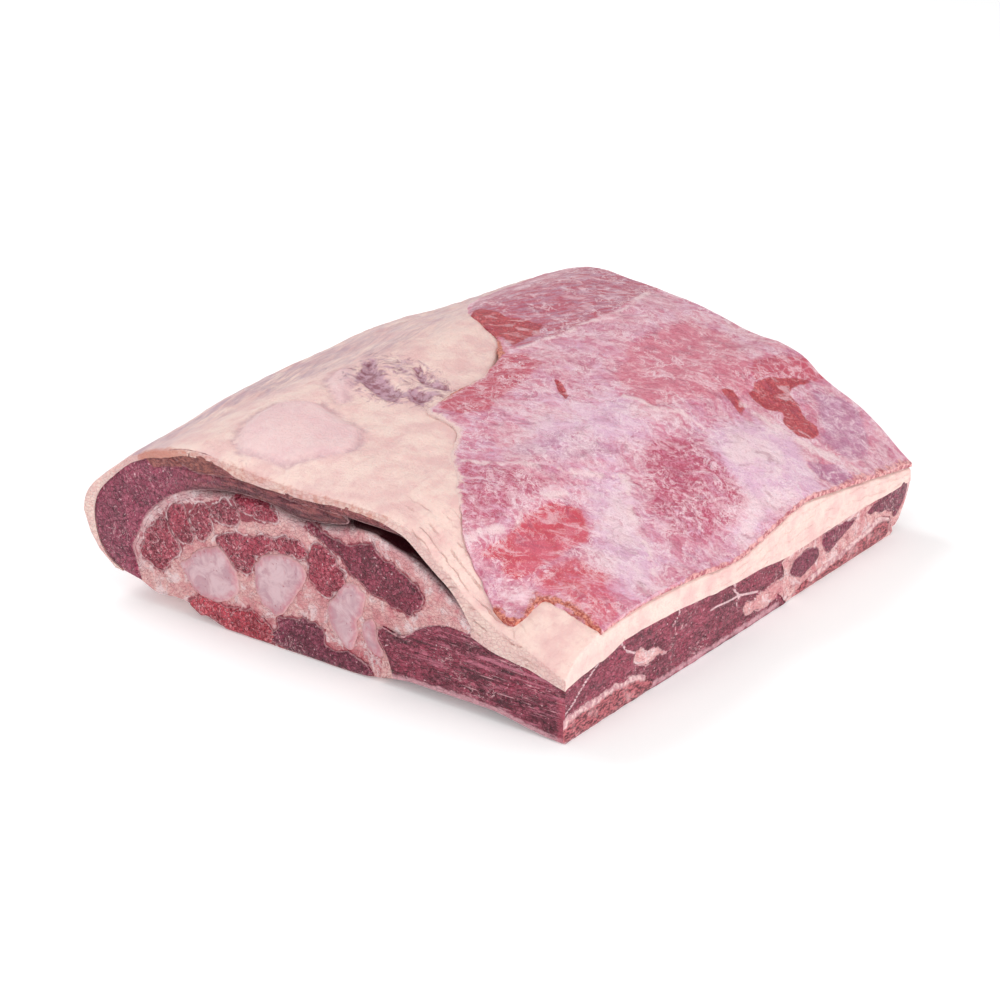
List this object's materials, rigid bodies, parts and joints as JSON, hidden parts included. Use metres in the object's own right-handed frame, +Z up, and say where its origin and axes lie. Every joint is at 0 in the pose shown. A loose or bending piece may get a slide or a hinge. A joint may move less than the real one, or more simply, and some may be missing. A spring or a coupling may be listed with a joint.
{
  "type": "raw beef ribs",
  "caption": "Slab of raw bone-in beef ribs with its fat cap, a membrane-covered muscle on top, and cut faces that show lean, cartilage and rib bone.",
  "frame": {"origin": "centre of the underside, on the surface that the slab rests on", "axes": "+X along the front cut face to the sawn right face, +Y back along the right face (the longest side), +Z up"},
  "size_m": [0.2901, 0.305, 0.1037],
  "materials": {
    "fat": "moist cream-pink fat, soft and slightly translucent",
    "lean": "wet dark red-purple raw lean with fine grain and marbling",
    "dried_muscle": "brownish red, drier muscle edge",
    "membrane_muscle": "rose-pink muscle under a thin glossy lilac-white membrane",
    "cartilage": "smooth bluish white cartilage, semi-gloss",
    "bone": "sawn rib bone: pale rim and dark red spongy marrow"
  },
  "bodies": {
    "root": {"cartilage_1": "cartilage", "cartilage_2": "cartilage", "cartilage_3": "cartilage", "cartilage_4": "cartilage", "deep_lean": "lean", "fat_cap": "fat", "fat_seam_1": "fat", "fat_seam_2": "fat", "flap_muscle": "dried_muscle", "lens_muscle": "lean", "lower_muscle_1": "lean", "lower_muscle_2": "lean", "rib_1": "bone", "rib_2": "bone", "ring_muscle_1": "lean", "ring_muscle_2": "lean", "ring_muscle_3": "lean", "ring_muscle_4": "lean", "ring_muscle_5": "lean", "ring_muscle_6": "lean", "ring_muscle_7": "lean", "roll_muscle": "lean", "seam_fat": "fat", "side_fat": "fat", "side_muscle_1": "lean", "side_muscle_2": "lean", "side_muscle_3": "lean", "top_muscle": "membrane_muscle"}
  },
  "joints": []
}
